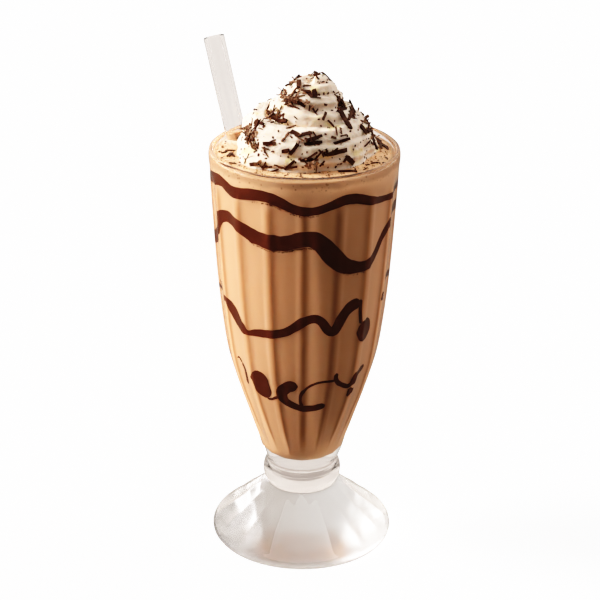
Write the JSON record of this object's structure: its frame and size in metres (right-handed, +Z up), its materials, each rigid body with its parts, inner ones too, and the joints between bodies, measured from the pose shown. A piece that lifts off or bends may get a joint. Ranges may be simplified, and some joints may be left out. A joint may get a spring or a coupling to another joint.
{
  "type": "coffee milkshake in a soda glass",
  "caption": "Coffee milkshake with chocolate syrup, whipped cream and chocolate shavings, in a footed fluted soda glass with a clear straw.",
  "frame": {"origin": "middle of the flat underside of the foot, on the surface that it stands on", "axes": "+Z up along the glass's axis; -Y is the front of the picture; the straw leans towards -X and +Y"},
  "size_m": [0.0843, 0.0818, 0.2275],
  "materials": {
    "glass": "clear, polished, slightly thick pressed glass",
    "milkshake": "smooth coffee-coloured liquid with dark glossy syrup on its side",
    "syrup": "dark glossy chocolate syrup",
    "straw": "clear tube",
    "cream": "soft whipped cream, faintly shiny",
    "chocolate": "dark chocolate shavings, dull with a slight sheen"
  },
  "bodies": {
    "root": {"glass": "glass", "milkshake": "milkshake", "straw": "straw", "whipped_cream": "cream"}
  },
  "joints": []
}
